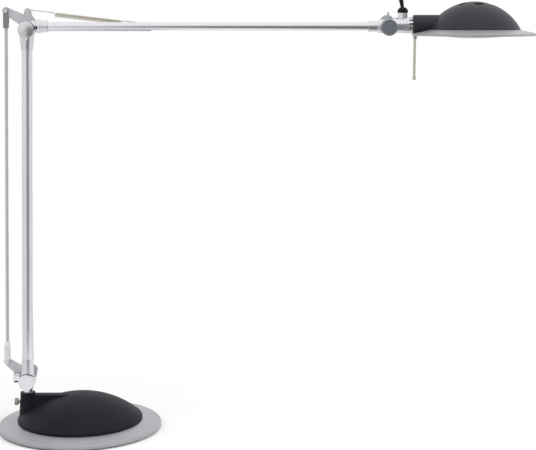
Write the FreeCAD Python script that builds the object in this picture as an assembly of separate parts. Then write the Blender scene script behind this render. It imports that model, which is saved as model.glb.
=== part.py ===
import FreeCAD, Part
import math
import os

# A balance-arm desk lamp: a round weighted base, a swivel post in a boss at the dome's edge, two arms of
# equal reach with a tie rod that keeps the elbow plate level, two extension springs, and a domed lamp head.
# Millimetres. The origin is the centre of the pad that the lamp stands on, +Z is up, and +X points from
# the base towards the head. Both arms lie in the plane Y = 0, and every arm joint turns about Y.

Vec = FreeCAD.Vector

# --- Arms and joints ---
post_x = -70.6              # swivel axis, at the left edge of the dome
shoulder_z = 64.4
lower_reach = 472.3         # shoulder axis to elbow axis
lower_lean = 1.44           # degrees forward of upright
upper_reach = 472.4         # elbow axis to head axis, level distance
head_axis_rise = 2.8        # head axis above the elbow axis
hub_radius = 10.7           # eyes and caps of every arm joint
eye_depth = 9.0             # half width of a joint's two eyes together
eye_gap = 0.25              # half the gap between the two eyes
cap_depth = 3.2
crown_curve = 26.0          # curvature of the crowned elbow cap
axle_radius = 4.0
turning_fit = 0.05          # radial clearance of a turning joint
lap_clearance = 0.6         # radial clearance round a turning eye
lap_reach = 11.4            # how far a fitting is halved for the other eye
plate_front = 9.4           # Y of the bracket plates' front face
plate_thick = 3.0
nut_gap = 0.4
nut_depth = 3.2
nut_radius = 6.5

# --- Tubes and sleeves ---
lower_tube_radius = 6.95
upper_tube_radius = 5.3
tube_wall = 1.2
tube_inset = 13.6           # tube ends, from the joint axes
upper_tube_rise = 4.3       # upper tube's centre line above the elbow axis
rail_length = 162.0         # rail under the upper tube, its far end from the elbow axis
rail_half_width = 1.6
rail_drop = 0.9             # below the tube
foot_sleeve = [(12.0, 8.4), (31.0, 7.4)]        # sleeves: distance from the axis, radius
elbow_sleeve = [(10.8, 9.4), (27.0, 7.6)]
collar_sleeve = [(11.0, 7.0), (12.8, 9.0), (18.0, 9.0), (18.2, 7.9), (27.5, 7.8)]
head_sleeve = [(9.5, 8.6), (14.6, 8.2), (14.8, 7.1), (27.0, 7.1)]
arms_closure = 31.0         # degrees that the arms fold together from rest, with one to spare
closure_gap = 0.5
grub_radius = 1.7
grub_at = 15.8
grub_depth = 1.6
slot_screw_at = 13.6        # the long black insert in the upper arm's elbow sleeve
slot_screw_drop = 1.8       # below the tube's centre line
slot_screw_radius = 1.15
slot_screw_half = 1.4       # half the distance between its two round ends

# --- Tie rod and springs ---
tie_pin = (-28.7, 24.4)     # from the shoulder axis and from the elbow axis
tie_pin_radius = 2.0
open_pivot_fit = 0.45       # clearance of the tie rod's upper pin in the elbow plate
tie_rod_radius = 2.2
fork_slot = 16.0            # depth of a fork's slot, from its pin
fork_cheek = 2.3
fork_gap = 0.5
shoulder_spring_pin = (2.9, 13.6)
elbow_spring_pin = (-0.2, 23.2)
spring_plane = 14.8         # Y of both springs
spring_pin_radius = 1.5
lower_spring_anchor = 240.0     # springs' far pins, along the arms
upper_spring_anchor = 163.0
wire_radius = 0.65
coil_radius = 2.45          # to the middle of the wire
coil_turns = 50
coil_length = 88.0
coil_end = 41.0             # from the far pin, along the spring

# --- Base ---
base_radius = 110.0
pad_thick = 1.2
pad_radius = 104.0
rim_height = 7.2
plate_top = 11.0            # where the dome stands on the base plate
dome_radius = 84.4
crown_radius = 126.4        # curvature of the dome's top
crown_top = 46.6
cover_wall = 3.0
boss_top = 48.8
boss_top_radius = 9.9
boss_foot_radius = 12.8
web_top = 46.2
web_half_width = 7.0
post_radius = 6.4
post_foot = 14.3
bush_radius = 7.8
screw_circle = 76.0
lug_radius = 5.0
lug_top = 15.6
screw_radius = 1.55
screw_head_radius = 4.1
ballast_outer = 70.0
ballast_inner = 54.5
ballast_top = 19.2
transformer_x = (-24.0, 52.0)
transformer_half_width = 17.0
transformer_top = 28.0
terminal_x = (-46.0, -30.0)
terminal_half_width = 11.0
terminal_top = 22.0
inlet_z = 18.0
inlet_collar = 84.7         # Y of the mains inlet's collar
clamp_z = 35.2
clamp_left = -88.4          # X of the thumbscrew's outer face
clamp_head_radius = 5.0
clamp_head_depth = 4.4
clamp_shank_radius = 2.0

# --- Clamp block in front of the shoulder plate, from the shoulder axis ---
block_x = (-19.9, -11.2)
block_z = (-1.2, 8.8)
block_front = 2.6
block_groove = (5.9, 7.1)
block_screw = (-16.1, 6.0)
block_screw_radius = 3.7
block_screw_depth = 2.0

# --- Head ---
roll_z = 542.5              # roll axis, the middle of the neck
bracket_start = 418.0
bracket_end = 444.3
bracket_radius = 10.2
bracket_lap = 14.8          # how far the bracket's rear half stays clear of the head axis
spigot_radius = 8.3
spigot_start = 433.0
neck_radius = 13.2
neck_start = 445.0
head_x = 525.0              # middle of the dome and the flange
dome_curve = 68.0
head_foot = 536.5           # where the dome stands on the flange
dome_height = 36.4
head_wall = 2.2
flange_radius = 80.7
flange_inner = 55.0
flange_sheet = 1.5
lip_top = 532.2
lip_bottom = 528.7
vent_circle = 19.6
vent_count = 5
vent_length = 12.0
vent_width = 8.0
bowl_rim = 53.5             # reflector bowl, at its open edge
bowl_collar = 11.0          # and round the lamp holder
bowl_low = 533.4
bowl_high = 557.0
holder_radius = 9.5
holder_low = 553.0
holder_high = 566.0
bulb_radius = 5.6
bulb_low = 536.2
bulb_high = 552.8
bulb_pin_spacing = 3.0      # from the middle
glass_radius = 53.2
glass_edge = (530.6, 532.2)
glass_middle = (525.6, 527.4)
ring_outer = 57.2
ring_low = 530.2
handle_x = 447.6
handle_radius = 1.9
handle_end = 471.2
handle_seat = 528.4         # top of the rod in its bracket
handle_foot = 524.6         # bottom of the bracket
handle_tip_radius = 2.4

# --- Head bracket's fittings ---
gland_x = 431.5
gland_radius = 6.2
gland_top = 558.2
gland_nut_radius = 6.9      # across the corners
gland_nut_height = 4.2
gland_crown = 565.2
cord_way = 2.4              # radius of the hole under the gland
clip_start = 432.4
clip_low = 531.9
clip_high = 541.4
clip_windows = (437.0, 441.6)
clip_grooves = (434.4, 436.6, 438.8, 441.0, 443.0)
slot_count = 12
slot_depth = 4.6
slot_half_width = 1.1
stop_lobe = (-1.6, 6.8, 9.3)    # the stop plate's round, from the head axis
stop_tab_x = (-1.3, 0.9)
stop_tab_z = (14.5, 20.0)

# --- Cord from the upper arm to the head ---
cord_radius = 2.2
cord_route = [
    (432.0, 0.0, 562.0),
    (428.1, 0.0, 574.0),
    (426.9, 1.8, 586.6),
    (427.3, 8.0, 597.4),
    (429.0, 18.6, 603.8),
    (430.6, 31.0, 604.2),
    (432.3, 41.8, 598.4),
    (433.6, 48.0, 587.6),
    (434.6, 49.4, 575.2),
    (436.2, 48.9, 562.9),
    (433.6, 45.6, 551.4),
    (426.4, 39.6, 543.6),
    (417.0, 32.0, 540.8),
    (406.0, 23.0, 540.4),
    (396.4, 15.2, 540.4),
]

# --- Derived places ---
lean = math.radians(lower_lean)
shoulder = Vec(post_x, 0, shoulder_z)
elbow = Vec(post_x + lower_reach * math.sin(lean), 0, shoulder_z + lower_reach * math.cos(lean))
head_axis = Vec(elbow.x + upper_reach, 0, elbow.z + head_axis_rise)
tube_z = elbow.z + upper_tube_rise
plate_back = plate_front + plate_thick
nut_front = plate_back + nut_gap
nut_back = nut_front + nut_depth
crown_z = crown_top - crown_radius
dome_z = head_foot + dome_height - dome_curve


def cylinder(radius, start, end):
    return Part.makeCylinder(radius, (end - start).Length, start, end - start)


def cone(start_radius, end_radius, start, end):
    return Part.makeCone(start_radius, end_radius, (end - start).Length, start, end - start)


def upright(radius, x, y, low, high):
    return cylinder(radius, Vec(x, y, low), Vec(x, y, high))


def along_x(radius, low, high, y, z):
    return cylinder(radius, Vec(low, y, z), Vec(high, y, z))


def along_y(radius, x, z, low, high):
    return cylinder(radius, Vec(x, low, z), Vec(x, high, z))


def block(x_range, y_range, z_range):
    sizes = [high - low for low, high in (x_range, y_range, z_range)]
    return Part.makeBox(*sizes, Vec(x_range[0], y_range[0], z_range[0]))


def joined(shapes):
    return shapes[0].fuse(shapes[1:]).removeSplitter()


def moved(shape, pivot):
    """Carry the origin of a shape to the pivot."""
    placed = shape.copy()
    placed.translate(pivot)
    return placed


def turned(shape, degrees, pivot):
    """Turn a shape about Y through the origin, then carry the origin to the pivot."""
    placed = shape.copy()
    placed.rotate(Vec(0, 0, 0), Vec(0, 1, 0), degrees)
    placed.translate(pivot)
    return placed


def outline(steps):
    """Edges through (r, z) points; a pair of points is an arc's middle and its end."""
    edges = []
    here = steps[0]
    for step in steps[1:]:
        start = Vec(here[0], 0, here[1])
        if isinstance(step[0], tuple):
            middle, here = step
            end = Vec(here[0], 0, here[1])
            edges.append(Part.Arc(start, Vec(middle[0], 0, middle[1]), end).toShape())
        else:
            here = step
            edges.append(Part.LineSegment(start, Vec(here[0], 0, here[1])).toShape())
    return edges


def revolved(steps, x=0.0):
    """A solid of revolution about the upright line at x."""
    face = Part.Face(Part.Wire(outline(steps + [steps[0]])))
    solid = face.revolve(Vec(0, 0, 0), Vec(0, 0, 1), 360)
    solid.translate(Vec(x, 0, 0))
    return solid


def tapered_link(first, second, low, high):
    """A flat link round two circles (x, z, radius), from Y = low to Y = high."""
    (x1, z1, r1), (x2, z2, r2) = first, second
    span = math.hypot(x2 - x1, z2 - z1)
    heading = math.atan2(z2 - z1, x2 - x1)
    spread = math.acos((r1 - r2) / span)
    corners = []
    for x, z, radius, sign in ((x1, z1, r1, 1), (x2, z2, r2, 1), (x2, z2, r2, -1), (x1, z1, r1, -1)):
        angle = heading + sign * spread
        corners.append(Vec(x + radius * math.cos(angle), low, z + radius * math.sin(angle)))
    side = Part.Face(Part.makePolygon(corners + [corners[0]])).extrude(Vec(0, high - low, 0))
    ends = [along_y(radius, x, z, low, high) for x, z, radius in (first, second)]
    return joined([side] + ends)


# --- Joint parts shared by the arms ---

def half_lap(shape, front, reach):
    """Leave one half of a joint's width, clear of what turns in the other half, out to `reach`."""
    low, high = (-eye_gap, eye_depth + 1.0) if front else (-eye_depth - 1.0, eye_gap)
    return shape.cut(along_y(reach, 0, 0, low, high))


def arm_fitting(rise, sleeve, tube_radius, front, screw_hole):
    """A die-cast end: eye at the origin, flare and sleeve along +X, for a tube `rise` above the axis."""
    end = sleeve[-1][0]
    hub = along_y(hub_radius, 0, 0, -eye_depth, eye_depth)
    wide = Part.Wire(Part.makeCircle(hub_radius - 0.4, Vec(2, 0, rise * 0.3), Vec(1, 0, 0)))
    narrow = Part.Wire(Part.makeCircle(sleeve[0][1], Vec(sleeve[0][0], 0, rise), Vec(1, 0, 0)))
    rings = [Part.makeLoft([wide, narrow], True, True)]
    for (near, near_radius), (far, far_radius) in zip(sleeve, sleeve[1:]):
        if near_radius == far_radius:
            rings.append(along_x(near_radius, near, far, 0, rise))
        else:
            rings.append(cone(near_radius, far_radius, Vec(near, 0, rise), Vec(far, 0, rise)))
    slab = block((-hub_radius, end), (-eye_depth, eye_depth), (-end, end))
    body = half_lap(joined([hub] + rings).common(slab), front, lap_reach)
    socket = along_x(tube_radius, tube_inset, end, 0, rise)
    axle_bore = axle_radius if front else axle_radius + turning_fit
    bore = along_y(axle_bore, 0, 0, -eye_depth, eye_depth)
    return body.cut([socket, bore, screw_hole])


def closed_arm_space():
    """The room that the lower arm's end needs beside the upper arm's collar when the arms fold together."""
    root = (0, hub_radius - 0.4)
    rings = [cone(near_radius + closure_gap, far_radius + closure_gap, Vec(near, 0, 0), Vec(far, 0, 0))
             for (near, near_radius), (far, far_radius) in zip([root] + elbow_sleeve, elbow_sleeve)]
    return turned(joined(rings), 90 + lower_lean - arms_closure, Vec(0, 0, 0))


def rear_screw_hole(rise, tube_radius):
    """The hole for a set screw in the rear of a sleeve and its tube."""
    return along_y(grub_radius, grub_at, rise, tube_radius - grub_depth, eye_depth + 1)


def grub_screw(rise, tube_radius):
    """A black set screw in the sleeve's rear, with a hex recess."""
    outer = tube_radius + 0.2
    screw = along_y(grub_radius, grub_at, rise, tube_radius - grub_depth, outer)
    return screw.cut(along_y(0.8, grub_at, rise, outer - 0.7, outer))


def long_insert(low, high):
    """An upright slot's shape at the front of the upper arm's elbow sleeve, from Y = low to Y = high."""
    z = upper_tube_rise - slot_screw_drop
    ends = [along_y(slot_screw_radius, slot_screw_at, z + side * slot_screw_half, low, high)
            for side in (-1, 1)]
    sides = (slot_screw_at - slot_screw_radius, slot_screw_at + slot_screw_radius)
    middle = block(sides, (low, high), (z - slot_screw_half, z + slot_screw_half))
    return joined(ends + [middle])


def joint_cap():
    cap = along_y(hub_radius, 0, 0, -eye_depth - cap_depth, -eye_depth)
    front_edges = [edge for edge in cap.Edges if edge.BoundBox.YMax < -eye_depth - cap_depth + 0.01]
    return cap.makeFillet(0.4, front_edges)


def crowned_cap():
    """The elbow's cap, with a domed face."""
    front = -eye_depth - cap_depth - 0.4
    cap = along_y(hub_radius, 0, 0, front, -eye_depth)
    return cap.common(Part.makeSphere(crown_curve, Vec(0, front + crown_curve, 0)))


def joint_axle(end):
    return along_y(axle_radius, 0, 0, -eye_depth, end)


def joint_nut(front):
    """A dome nut's flange and body on the axle's end."""
    flange = along_y(nut_radius + 1.2, 0, 0, front, front + 0.9)
    body = along_y(nut_radius, 0, 0, front + 0.9, front + nut_depth)
    bore = along_y(axle_radius, 0, 0, front, front + nut_depth)
    return joined([flange, body]).cut(bore)


# --- Base ---

def crown_height(radius, inset=0.0):
    return crown_z + math.sqrt((crown_radius - inset) ** 2 - radius ** 2)


def base_plate():
    steps = [
        (0, pad_thick),
        (base_radius - 3.2, pad_thick),
        ((base_radius, (pad_thick + rim_height) / 2), (base_radius - 2.4, rim_height)),
        (dome_radius + 0.6, plate_top - 0.1),
        (dome_radius, plate_top),
        (0, plate_top),
    ]
    plate = revolved(steps)
    holes = [upright(2.1, x, y, pad_thick, plate_top) for x, y in screw_places()]
    sinks = [cone(4.2, 2.1, Vec(x, y, pad_thick), Vec(x, y, pad_thick + 2.1)) for x, y in screw_places()]
    return plate.cut(holes + sinks)


def screw_places():
    angles = [math.radians(turn) for turn in (0, 120, 240)]
    return [(screw_circle * math.cos(angle), screw_circle * math.sin(angle)) for angle in angles]


def dome_solid(inset):
    edge = dome_radius - inset
    shoulder_r = edge - 2.9
    steps = [
        (0, plate_top),
        (edge, plate_top),
        (edge, plate_top + 1.6),
        ((edge - 0.8, crown_height(shoulder_r, inset) - 1.6), (shoulder_r, crown_height(shoulder_r, inset))),
        ((edge / 2, crown_height(edge / 2, inset)), (0, crown_height(0, inset))),
    ]
    return revolved(steps)


def base_cover():
    cavity = dome_solid(cover_wall)
    shell = dome_solid(0).cut(cavity)
    web = block((post_x, -14), (-web_half_width, web_half_width), (plate_top, web_top))
    ridge = [edge for edge in web.Edges if edge.BoundBox.ZMin > web_top - 0.1 and edge.BoundBox.XLength > 1]
    web = web.makeFillet(1.6, ridge).cut(cavity)
    boss = cone(boss_foot_radius, boss_top_radius, Vec(post_x, 0, plate_top), Vec(post_x, 0, boss_top))
    lugs = [upright(lug_radius, x, y, plate_top, lug_top) for x, y in screw_places()]
    cover = joined([shell, web, boss] + lugs)
    holes = [upright(1.6, x, y, plate_top, lug_top - 0.4) for x, y in screw_places()]
    post_bore = upright(bush_radius, post_x, 0, post_foot - 0.3, boss_top + 1)
    clamp_bore = along_x(clamp_shank_radius + turning_fit, post_x - 20, post_x - 4, 0, clamp_z)
    inlet = along_y(3.6, 0, inlet_z, 70, 95)
    return cover.cut(holes + [post_bore, clamp_bore, inlet])


def post_bush():
    bush = upright(bush_radius, post_x, 0, post_foot - 0.3, boss_top)
    bore = upright(post_radius + turning_fit, post_x, 0, post_foot, boss_top + 1)
    clamp_bore = along_x(clamp_shank_radius + turning_fit, post_x - 20, post_x - 4, 0, clamp_z)
    return bush.cut([bore, clamp_bore])


def ballast_ring():
    """A flat iron ring on the base plate, cut away round the boss."""
    ring = upright(ballast_outer, 0, 0, plate_top, ballast_top)
    hole = upright(ballast_inner, 0, 0, plate_top, ballast_top)
    boss_space = upright(boss_foot_radius + 1.2, post_x, 0, plate_top, ballast_top)
    return ring.cut([hole, boss_space])


def non_slip_pad():
    return upright(pad_radius, 0, 0, 0, pad_thick)


def cover_screws():
    screws = []
    for x, y in screw_places():
        low = pad_thick + 0.05
        head = cone(screw_head_radius, screw_radius + 0.45, Vec(x, y, low), Vec(x, y, low + 2.1))
        shank = upright(screw_radius, x, y, low + 2.0, lug_top - 0.6)
        screws.append(joined([head, shank]))
    return Part.makeCompound(screws)


def transformer():
    sides = (-transformer_half_width, transformer_half_width)
    case = block(transformer_x, sides, (plate_top, transformer_top))
    upright_edges = [edge for edge in case.Edges if edge.BoundBox.ZLength > 10]
    return case.makeFillet(3.0, upright_edges)


def terminal_block():
    body = block(terminal_x, (-terminal_half_width, terminal_half_width), (plate_top, terminal_top))
    middle = sum(terminal_x) / 2
    wells = [upright(1.8, middle, y, terminal_top - 5, terminal_top) for y in (-7, 0, 7)]
    return body.cut(wells)


def mains_inlet_gland():
    """The bush in the cover's rear for the mains lead."""
    barrel = along_y(3.5, 0, inlet_z, 72, inlet_collar + 1)
    collar = along_y(5.4, 0, inlet_z, inlet_collar, inlet_collar + 5.0)
    return joined([barrel, collar]).cut(along_y(2.6, 0, inlet_z, 70, 95))


def clamp_screw():
    """The thumbscrew in the boss's left side: a scalloped head with a waist, and its shank."""
    neck = clamp_left + clamp_head_depth
    head = along_x(clamp_head_radius, clamp_left, neck, 0, clamp_z)
    scallops = []
    for turn in range(6):
        angle = math.radians(30 + 60 * turn)
        y = (clamp_head_radius + 1.1) * math.cos(angle)
        z = clamp_z + (clamp_head_radius + 1.1) * math.sin(angle)
        scallops.append(along_x(2.0, clamp_left, neck, y, z))
    waist = along_x(clamp_shank_radius + 0.6, neck, neck + 1.2, 0, clamp_z)
    shank = along_x(clamp_shank_radius, neck + 1.2, post_x - post_radius - 0.3, 0, clamp_z)
    return joined([head.cut(scallops), waist, shank])


# --- Swivel ---

def swivel_post():
    """The post that turns in the boss, with the shoulder's front eye on top."""
    hub = along_y(hub_radius, 0, 0, -eye_depth, eye_depth)
    drop = shoulder_z - post_foot
    stem = upright(post_radius, 0, 0, -drop, 0)
    flare = cone(post_radius, hub_radius - 0.6, Vec(0, 0, -hub_radius - 1), Vec(0, 0, -3))
    slab = block((-hub_radius, hub_radius), (-eye_depth, eye_depth), (-drop, hub_radius))
    post = half_lap(joined([hub, stem, flare]).common(slab), True, hub_radius + lap_clearance)
    post = post.cut(along_y(axle_radius, 0, 0, -eye_depth, eye_depth))
    post.translate(shoulder)
    return post


def bracket_plate(arm_root, lobes, holes):
    """A pressed plate round the axis: an arm to the tie rod's pin, and tapered lobes, all (x, z, radius)."""
    hub = (0, 0, hub_radius - 1.2)
    links = [tapered_link(arm_root, tie_pin + (4.8,), plate_front, plate_back)]
    links += [tapered_link(hub, lobe, plate_front, plate_back) for lobe in lobes]
    cuts = [along_y(radius, x, z, plate_front, plate_back) for x, z, radius in holes]
    return joined(links).cut(cuts)


def shoulder_plate():
    holes = [(0, 0, axle_radius), tie_pin + (tie_pin_radius + turning_fit,)]
    holes.append(shoulder_spring_pin + (spring_pin_radius,))
    plate = bracket_plate((0, 2.5, 9.3), [(6.0, 13.6, 6.3)], holes)
    return moved(plate, shoulder)


def elbow_plate():
    holes = [(0, 0, axle_radius + turning_fit), tie_pin + (tie_pin_radius + open_pivot_fit,)]
    holes.append(elbow_spring_pin + (spring_pin_radius,))
    plate = bracket_plate((0, 8.3, 8.3), [elbow_spring_pin + (4.5,), (3.3, 11.9, 5.9)], holes)
    return moved(plate, elbow)


def spring_pin(place, pivot):
    """A headed pin that carries a spring's hook behind the plate."""
    x, z = place
    pin = along_y(spring_pin_radius, x, z, plate_front - 0.2, spring_plane + 1.9)
    front_head = along_y(2.3, x, z, plate_front - 0.7, plate_front)
    rear_head = along_y(2.5, x, z, spring_plane + 1.1, spring_plane + 1.9)
    return moved(joined([pin, front_head, rear_head]), pivot)


def clamp_block():
    """The small block in front of the shoulder plate, with a groove under its top."""
    body = block(block_x, (block_front, plate_front), block_z)
    groove = block(block_x, (block_front, block_front + 1.4), block_groove)
    return moved(body.cut(groove), shoulder)


def clamp_block_screw():
    """The screw in the block's underside, with a round key hole."""
    x, y = block_screw
    top = block_z[0]
    head = upright(block_screw_radius, x, y, top - block_screw_depth, top)
    key = upright(1.6, x, y, top - block_screw_depth, top - block_screw_depth / 2)
    return moved(head.cut(key), shoulder)


# --- Tie rod ---

def fork(width, length, taper):
    """A fork end along +X from its pin at the origin, slotted for a plate in the middle of its depth."""
    depth = plate_thick + 2 * (fork_gap + fork_cheek)
    half = depth / 2
    slot = plate_thick / 2 + fork_gap
    body = block((0, length - taper), (-half, half), (-width / 2, width / 2))
    eye = along_y(width / 2, 0, 0, -half, half)
    wide = Part.makePolygon([Vec(length - taper, y, z) for y, z in rectangle(half, width / 2)])
    thin = tie_rod_radius + 0.3
    narrow = Part.makePolygon([Vec(length, y, z) for y, z in rectangle(thin, thin)])
    neck = Part.makeLoft([wide, narrow], True, True)
    solid = joined([body, eye, neck])
    gap = block((-width, fork_slot), (-slot, slot), (-width, width))
    pin = along_y(tie_pin_radius, 0, 0, -half, half)
    rod = along_x(tie_rod_radius, fork_slot + 2, length, 0, 0)
    return solid.cut([gap, pin, rod])


def rectangle(half_y, half_z):
    return [(-half_y, -half_z), (half_y, -half_z), (half_y, half_z), (-half_y, half_z), (-half_y, -half_z)]


def on_tie_line(shape, end, heading):
    """Carry a part made along +X to a tie-rod pin; heading +1 points it up the rod, -1 down."""
    y = plate_front + plate_thick / 2
    pivot = end + Vec(tie_pin[0], y, tie_pin[1])
    return turned(shape, -90 + lower_lean if heading > 0 else 90 + lower_lean, pivot)


def tie_rod():
    rod = along_x(tie_rod_radius, fork_slot + 2, lower_reach - fork_slot - 2, 0, 0)
    return on_tie_line(rod, shoulder, 1)


def tie_rod_pins():
    depth = plate_thick / 2 + fork_gap + fork_cheek
    pin = along_y(tie_pin_radius, 0, 0, -depth, depth + 0.8)
    head = along_y(2.9, 0, 0, -depth - 0.9, -depth)
    clip = along_y(2.7, 0, 0, depth, depth + 0.5)
    one = joined([pin, head, clip])
    return Part.makeCompound([on_tie_line(one, shoulder, 1), on_tie_line(one, elbow, 1)])


# --- Springs ---

def biarc(start, start_way, end, end_way):
    """Two arcs that join two points and take the given directions there."""
    reach = end - start
    ways = start_way + end_way
    spare = 2 * (1 - start_way.dot(end_way))
    pull = reach.dot(ways)
    step = (-pull + math.sqrt(pull ** 2 + spare * reach.dot(reach))) / spare
    middle = (start + end + (start_way - end_way) * step) * 0.5
    first = arc_from(start, start_way, middle)
    second = arc_from(end, end_way * -1, middle)
    return [Part.Arc(start, first, middle).toShape(), Part.Arc(middle, second, end).toShape()]


def arc_from(start, way, end):
    """The middle point of the arc that leaves `start` along `way` and ends at `end`."""
    chord = end - start
    along = Vec(chord).normalize()
    aside = way - along * way.dot(along)
    half_turn = math.acos(max(-1.0, min(1.0, way.dot(along))))
    rise = chord.Length / 2 * math.tan(half_turn / 2)
    return start + chord * 0.5 + aside.normalize() * rise


def coil_point(start, turn):
    """Point and direction on the coil after a number of turns from its start."""
    angle = 2 * math.pi * turn
    pitch = coil_length / coil_turns
    point = Vec(start + pitch * turn, coil_radius * math.sin(angle), coil_radius * math.cos(angle))
    way = Vec(pitch / (2 * math.pi), coil_radius * math.cos(angle), -coil_radius * math.sin(angle))
    return point, way.normalize()


def spring(length):
    """An extension spring along +X: an open hook round each pin, straight leads and a close coil."""
    right = Vec(1, 0, 0)
    top = Vec(0, 0, coil_radius)
    left = Vec(-coil_radius, 0, 0)
    tail = Vec(2 * wire_radius, 0, 0)
    far = Vec(length, 0, 0)
    start = length - coil_end - coil_length
    lead = 2.6
    quarter = coil_radius * math.sqrt(0.5)
    edges = [Part.LineSegment(tail - top, top * -1).toShape()]
    edges.append(Part.Arc(top * -1, Vec(-quarter, 0, -quarter), left).toShape())
    edges.append(Part.Arc(left, Vec(-quarter, 0, quarter), top).toShape())
    first, first_way = coil_point(start, 0.25)
    coil_in = Vec(first.x - lead, 0, coil_radius)
    edges.append(Part.LineSegment(top, coil_in).toShape())
    edges += biarc(coil_in, right, first, first_way)
    here, way = first, first_way
    quarters = 4 * coil_turns
    for step in range(2, quarters):
        point, point_way = coil_point(start, step / 4)
        edges += biarc(here, way, point, point_way)
        here, way = point, point_way
    coil_out = Vec(here.x + lead, 0, coil_radius)
    edges += biarc(here, way, coil_out, right)
    edges.append(Part.LineSegment(coil_out, far + top).toShape())
    edges.append(Part.Arc(far + top, far + Vec(quarter, 0, quarter), far - left).toShape())
    edges.append(Part.Arc(far - left, far + Vec(quarter, 0, -quarter), far - top).toShape())
    edges.append(Part.LineSegment(far - top, far - top - tail).toShape())
    path = Part.Wire(edges)
    section = Part.Wire(Part.makeCircle(wire_radius, tail - top, right))
    solid = path.makePipeShell([section], True, False)
    report_gap("spring", path)
    return solid


def report_gap(name, path):
    """Print the least gap between a wound wire and its own other turns, measured on points."""
    points = []
    travelled = []
    distance = 0.0
    for edge in path.OrderedEdges:
        count = max(3, int(edge.Length / 0.45))
        piece = edge.discretize(count)
        if edge.Orientation == "Reversed":
            piece.reverse()
        for point in piece:
            if points:
                distance += (point - points[-1]).Length
            points.append(point)
            travelled.append(distance)
    nearest = 1e9
    own_reach = 4 * coil_radius
    for i, point in enumerate(points):
        for j in range(i + 1, min(i + 90, len(points))):
            if travelled[j] - travelled[i] > own_reach:
                nearest = min(nearest, (point - points[j]).Length)
    print(name, "least gap to itself", round(nearest - 2 * wire_radius, 3), "mm")


def spring_between(near, far, leads_right=False):
    """Place a spring between two pin centres (x, z), with its straight leads on its left or its right."""
    span = math.hypot(far[0] - near[0], far[1] - near[1])
    rise = math.degrees(math.atan2(far[1] - near[1], far[0] - near[0]))
    wound = spring(span)
    if leads_right:
        wound.rotate(Vec(0, 0, 0), Vec(1, 0, 0), 180)
    return turned(wound, -rise, Vec(near[0], spring_plane, near[1]))


def spring_anchor_pin(tube_radius):
    """A shouldered pin on the rear of an arm tube, at the origin."""
    foot = along_y(3.2, 0, 0, tube_radius - 0.6, tube_radius + 1.6)
    pin = along_y(spring_pin_radius, 0, 0, tube_radius + 1.6, spring_plane + 1.9)
    head = along_y(2.5, 0, 0, spring_plane + 1.1, spring_plane + 1.9)
    saddle = along_x(tube_radius, -5, 5, 0, 0)
    return joined([foot, pin, head]).cut(saddle)


# --- Arms ---

def on_lower_arm(shape, at_elbow=False):
    """Carry a part made along +X onto the lower arm, from the shoulder up or from the elbow down."""
    if at_elbow:
        return turned(shape, 90 + lower_lean, elbow)
    return turned(shape, -90 + lower_lean, shoulder)


def hollow_tube(radius, length):
    outer = along_x(radius, tube_inset, length - tube_inset, 0, 0)
    return outer.cut(along_x(radius - tube_wall, tube_inset, length - tube_inset, 0, 0))


def lower_tube():
    ends = [rear_screw_hole(0, lower_tube_radius) for end in range(2)]
    ends[1].rotate(Vec(lower_reach / 2, 0, 0), Vec(0, 1, 0), 180)
    return on_lower_arm(hollow_tube(lower_tube_radius, lower_reach).cut(ends))


def upper_tube():
    """The tube with a rail under its first third, where the spring is anchored."""
    tube = hollow_tube(upper_tube_radius, upper_reach)
    rail = block((collar_sleeve[-1][0], rail_length), (-rail_half_width, rail_half_width),
                 (-upper_tube_radius - rail_drop, -upper_tube_radius + 0.6))
    far_hole = rear_screw_hole(0, upper_tube_radius)
    far_hole.rotate(Vec(upper_reach / 2, 0, 0), Vec(0, 1, 0), 180)
    near_hole = long_insert(-eye_depth, -upper_tube_radius + grub_depth)
    near_hole.translate(Vec(0, 0, -upper_tube_rise))
    return moved(joined([tube, rail]).cut([near_hole, far_hole]), Vec(elbow.x, 0, tube_z))


def upper_arm_head_fitting():
    rise = head_axis_rise - upper_tube_rise
    hole = rear_screw_hole(rise, upper_tube_radius)
    return turned(arm_fitting(rise, head_sleeve, upper_tube_radius, False, hole), 180, head_axis)


def lower_grub_screws():
    screw = grub_screw(0, lower_tube_radius)
    return Part.makeCompound([on_lower_arm(screw), on_lower_arm(screw, True)])


def upper_grub_screws():
    """The elbow sleeve's long black insert and the head sleeve's set screw."""
    near = moved(long_insert(-upper_tube_radius - 1.9, -upper_tube_radius + grub_depth), elbow)
    far = turned(grub_screw(head_axis_rise - upper_tube_rise, upper_tube_radius), 180, head_axis)
    return Part.makeCompound([near, far])


def cord_port():
    """The angled grommet on the rear of the head-end sleeve, where the cord comes out of the arm."""
    mouth = Vec(*cord_route[-1])
    before = Vec(*cord_route[-2])
    way = (mouth - before).normalize()
    stub = cylinder(3.6, mouth, mouth + way * 9.5)
    collar = cylinder(4.4, mouth, mouth + way * 1.6)
    port = joined([stub, collar]).cut(along_x(head_sleeve[-1][1], 370, 410, 0, tube_z))
    return max(port.Solids, key=lambda solid: solid.Volume)


# --- Head joint and bracket ---

def head_stop_plate():
    """The pressed stop plate behind the head joint, with an upright tab on its top."""
    low, high = eye_depth + 1.5, eye_depth + 3.5
    link = tapered_link((0, 0, 8.6), stop_lobe, low, high)
    tab = block(stop_tab_x, (low, high), stop_tab_z)
    foot = along_y(5.2, 0, 0, eye_depth, low)
    plate = joined([link, tab, foot]).cut(along_y(axle_radius + turning_fit, 0, 0, 0, high))
    return moved(plate, head_axis)


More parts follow.
